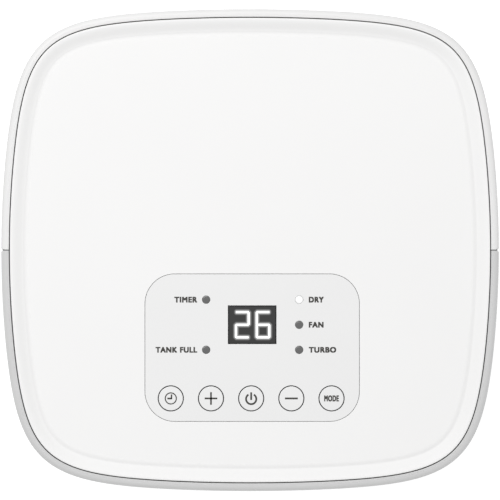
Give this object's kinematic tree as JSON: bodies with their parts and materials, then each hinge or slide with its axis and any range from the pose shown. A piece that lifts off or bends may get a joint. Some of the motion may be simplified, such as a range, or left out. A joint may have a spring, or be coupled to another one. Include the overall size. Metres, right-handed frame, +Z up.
{
  "type": "dehumidifier",
  "caption": "Compact compressor dehumidifier: tall rounded-square two-tone casing, dished top cover with a control panel and display, front pull-out water tank, rear air grille.",
  "frame": {"origin": "on the floor under the middle of the casing", "axes": "+Z up, -Y towards the front where the tank and the control panel are, +X to the right seen from above with the front nearest"},
  "size_m": [0.252, 0.244, 0.41],
  "materials": {
    "casing_white": "moulded white ABS, fine satin spark texture",
    "casing_grey": "moulded light grey ABS, fine satin texture",
    "panel_grey": null,
    "button_grey": "satin cap with a dark printed symbol",
    "display_glass": "smoked acrylic",
    "display_black": "black display package",
    "light_lens": "grey light pipe",
    "circuit_board": "green solder mask",
    "tank_clear": "translucent moulded plastic",
    "grey_plastic": "moulded polypropylene",
    "black_plastic": "moulded polypropylene",
    "float_white": "moulded polypropylene",
    "rubber": "moulded rubber",
    "compressor_black": "black stoved paint on a drawn steel shell",
    "copper_tube": "drawn copper tube",
    "coil_fins": "pressed aluminium fins on copper tube",
    "zinc_steel": "zinc-plated steel",
    "filter_mesh": "woven nylon mesh in a thin frame"
  },
  "bodies": {
    "housing": {"rear_casing": "casing_white", "top_cover": "casing_white", "handle_cup_left": "casing_white", "handle_cup_right": "casing_white", "outlet_louvre": "casing_white", "front_casing": "casing_grey", "control_panel": "panel_grey", "display_window": "display_glass", "display_module": "display_black", "light_timer": "light_lens", "light_tank_full": "light_lens", "light_dry": "light_lens", "light_fan": "light_lens", "light_turbo": "light_lens", "control_board": "circuit_board", "power_board": "circuit_board", "humidity_sensor": "circuit_board", "tank_bay": "grey_plastic", "drain_tray": "grey_plastic", "fan_scroll": "grey_plastic", "run_capacitor": "grey_plastic", "base_pan": "black_plastic", "tank_switch": "black_plastic", "cord_gland": "black_plastic", "foot_front_left": "rubber", "foot_front_right": "rubber", "foot_rear_left": "rubber", "foot_rear_right": "rubber", "compressor_grommet_1": "rubber", "compressor_grommet_2": "rubber", "compressor_grommet_3": "rubber", "compressor": "compressor_black", "accumulator": "compressor_black", "discharge_pipe": "copper_tube", "suction_pipe": "copper_tube", "filter_drier": "copper_tube", "capillary_tube": "copper_tube", "evaporator": "coil_fins", "condenser": "coil_fins", "fan_motor": "zinc_steel", "motor_bracket": "zinc_steel"},
    "tank": {"water_tank": "tank_clear", "tank_fascia": "casing_grey", "tank_window": "tank_clear", "tank_lid": "grey_plastic", "float_bracket": "grey_plastic"},
    "tank_handle": {"tank_handle": "black_plastic"},
    "pour_flap": {"pour_flap": "grey_plastic"},
    "tank_float": {"tank_float": "float_white"},
    "fan": {"fan_impeller": "black_plastic", "fan_shaft": "zinc_steel"},
    "filter_cassette": {"inlet_grille": "casing_white", "air_filter": "filter_mesh"},
    "drain_plug": {"drain_plug": "rubber"},
    "button_timer": {"button_timer": "button_grey"},
    "button_plus": {"button_plus": "button_grey"},
    "button_power": {"button_power": "button_grey"},
    "button_minus": {"button_minus": "button_grey"},
    "button_mode": {"button_mode": "button_grey"},
    "tank_switch_plunger": {"tank_switch_plunger": "float_white"}
  },
  "joints": [
    {"name": "tank_slide", "type": "slide", "parent": "housing", "child": "tank", "axis": [0, -1, 0], "range_m": [0, 0.12]},
    {"name": "handle_pivot", "type": "hinge", "parent": "tank", "child": "tank_handle", "pos_m": [0, -0.06525, 0.128], "axis": [-1, 0, 0], "range_deg": [0, 51]},
    {"name": "pour_flap_hinge", "type": "hinge", "parent": "tank", "child": "pour_flap", "pos_m": [0.06, -0.0535, 0.155], "axis": [1, 0, 0], "range_deg": [0, 75]},
    {"name": "float_pivot", "type": "hinge", "parent": "tank", "child": "tank_float", "pos_m": [-0.066, -0.04, 0.135], "axis": [-1, 0, 0], "range_deg": [0, 14]},
    {"name": "fan_spin", "type": "hinge", "parent": "housing", "child": "fan", "pos_m": [0, 0.02, 0.301], "axis": [0, 1, 0], "continuous": true},
    {"name": "filter_cassette_slide", "type": "slide", "parent": "housing", "child": "filter_cassette", "axis": [0, 1, 0], "range_m": [0, 0.03]},
    {"name": "drain_plug_pull", "type": "slide", "parent": "housing", "child": "drain_plug", "axis": [0, 1, 0], "range_m": [0, 0.02]},
    {"name": "button_timer_press", "type": "slide", "parent": "housing", "child": "button_timer", "axis": [0, 0, -1], "range_m": [0, 0.001], "stiffness_N_per_m": 400, "springref_m": -0.0005},
    {"name": "button_plus_press", "type": "slide", "parent": "housing", "child": "button_plus", "axis": [0, 0, -1], "range_m": [0, 0.001], "stiffness_N_per_m": 400, "springref_m": -0.0005},
    {"name": "button_power_press", "type": "slide", "parent": "housing", "child": "button_power", "axis": [0, 0, -1], "range_m": [0, 0.001], "stiffness_N_per_m": 400, "springref_m": -0.0005},
    {"name": "button_minus_press", "type": "slide", "parent": "housing", "child": "button_minus", "axis": [0, 0, -1], "range_m": [0, 0.001], "stiffness_N_per_m": 400, "springref_m": -0.0005},
    {"name": "button_mode_press", "type": "slide", "parent": "housing", "child": "button_mode", "axis": [0, 0, -1], "range_m": [0, 0.001], "stiffness_N_per_m": 400, "springref_m": -0.0005},
    {"name": "tank_switch_press", "type": "slide", "parent": "housing", "child": "tank_switch_plunger", "axis": [0, 1, 0], "range_m": [0, 0.002], "stiffness_N_per_m": 200, "springref_m": -0.0005}
  ]
}
